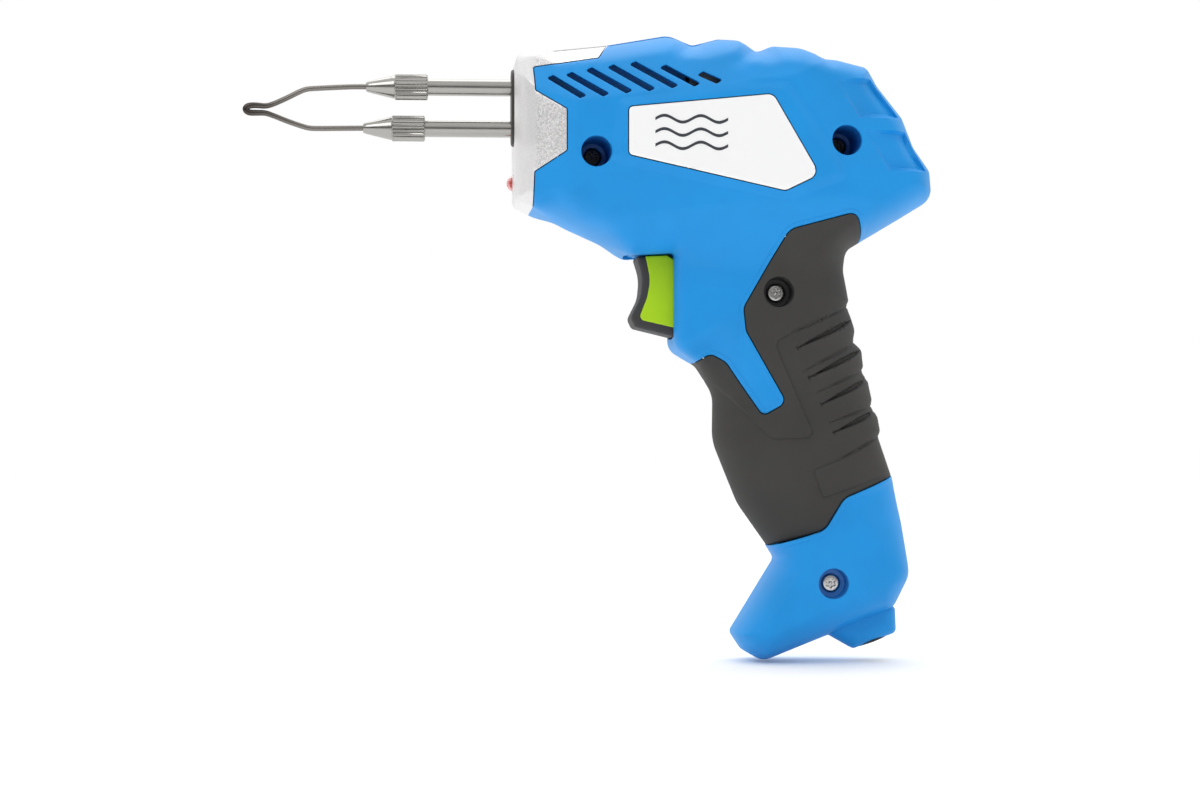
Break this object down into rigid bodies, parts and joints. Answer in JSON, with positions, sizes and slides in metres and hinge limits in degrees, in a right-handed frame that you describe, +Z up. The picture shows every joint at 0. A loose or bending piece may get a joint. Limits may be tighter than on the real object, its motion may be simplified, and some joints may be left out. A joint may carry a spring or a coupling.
{
  "type": "soldering gun",
  "caption": "Pistol-shaped transformer soldering gun with a bent wire tip on two rods, a sprung trigger and a soft-skinned grip.",
  "frame": {"origin": "on the ground plane below the middle of the overall length, in the plane where the two shells meet", "axes": "-X towards the tip, +Y to the gun's right side, +Z up with the rods level"},
  "size_m": [0.2138, 0.056, 0.194],
  "materials": {
    "blue_abs": "fine-grained satin blue moulding",
    "silver_paint": "silver flake paint, satin band and grained wings",
    "soft_grip": "matt dark grey soft skin",
    "green_abs": "satin green moulding",
    "dark_pad": "matt dark grey pad",
    "label_white": "glossy white plate",
    "insulator": "dark heat-resistant moulding",
    "nickel": "bright nickel plate",
    "tip_steel": "plated copper wire, dulled by heat",
    "brass": "turned brass",
    "copper": "bare copper strap",
    "enamel_wire": "enamelled winding wire",
    "lamination": "stacked transformer sheet",
    "nylon": "natural nylon",
    "black_plastic": "black moulding",
    "screw_steel": "zinc-plated steel",
    "screw_black": "blackened steel",
    "led_red": "clear-coated red lamp",
    "circuit_board": "circuit board",
    "wire_brown": "brown insulation",
    "wire_blue": "blue insulation",
    "wire_black": "black insulation",
    "rubber": "black rubber"
  },
  "bodies": {
    "housing": {"housing_left": "blue_abs", "housing_right": "blue_abs", "nose_cover": "silver_paint", "nose_insulator": "insulator", "grip_skin_left": "soft_grip", "grip_skin_right": "soft_grip", "label_left": "label_white", "label_right": "label_white", "upper_rod": "nickel", "lower_rod": "nickel", "lamp": "led_red", "lamp_board": "circuit_board", "switch_body": "black_plastic", "trigger_spring": "screw_steel", "switch_blade_live": "brass", "switch_blade_load": "brass", "transformer_core": "lamination", "bobbin": "nylon", "primary_winding_left": "enamel_wire", "primary_winding_right": "enamel_wire", "secondary_strap": "copper", "cord_bush": "rubber", "cord_clamp_bar": "nylon", "clamp_screw_front": "screw_steel", "clamp_screw_rear": "screw_steel", "terminal_block": "nylon", "wire_live": "wire_brown", "wire_load": "wire_black", "wire_neutral": "wire_blue", "wire_lamp": "wire_black", "housing_screw_nose": "screw_black", "housing_screw_rear": "screw_black", "housing_screw_grip": "screw_steel", "housing_screw_foot": "screw_steel"},
    "trigger": {"trigger_core": "green_abs", "trigger_pad": "dark_pad", "switch_plunger": "nylon"},
    "upper_collet": {"upper_collet": "brass"},
    "upper_nut": {"upper_nut": "nickel"},
    "lower_collet": {"lower_collet": "brass"},
    "lower_nut": {"lower_nut": "nickel"},
    "tip": {"tip_wire": "tip_steel"}
  },
  "joints": [
    {"name": "trigger_slide", "type": "slide", "parent": "housing", "child": "trigger", "axis": [0.9659, 0, -0.2588], "range_m": [0, 0.005], "stiffness_N_per_m": 1200, "springref_m": -0.005, "deforming": ["trigger_spring"]},
    {"name": "upper_collet_slide", "type": "slide", "parent": "housing", "child": "upper_collet", "axis": [-1, 0, 0], "range_m": [0, 0.0012]},
    {"name": "upper_nut_turn", "type": "hinge", "parent": "upper_collet", "child": "upper_nut", "pos_m": [-0.0691, 0, 0.1772], "axis": [-1, 0, 0], "range_deg": [0, 541]},
    {"name": "lower_collet_slide", "type": "slide", "parent": "housing", "child": "lower_collet", "axis": [-1, 0, 0], "range_m": [0, 0.0012]},
    {"name": "lower_nut_turn", "type": "hinge", "parent": "lower_collet", "child": "lower_nut", "pos_m": [-0.07, 0, 0.1644], "axis": [-1, 0, 0], "range_deg": [0, 541]},
    {"name": "tip_slide", "type": "slide", "parent": "housing", "child": "tip", "axis": [-1, 0, 0], "range_m": [0, 0.016]}
  ],
  "couplings": [
    {"joint": "upper_nut_turn", "follows": "upper_collet_slide", "rad_per_m": 7854},
    {"joint": "lower_nut_turn", "follows": "lower_collet_slide", "rad_per_m": 7854}
  ]
}
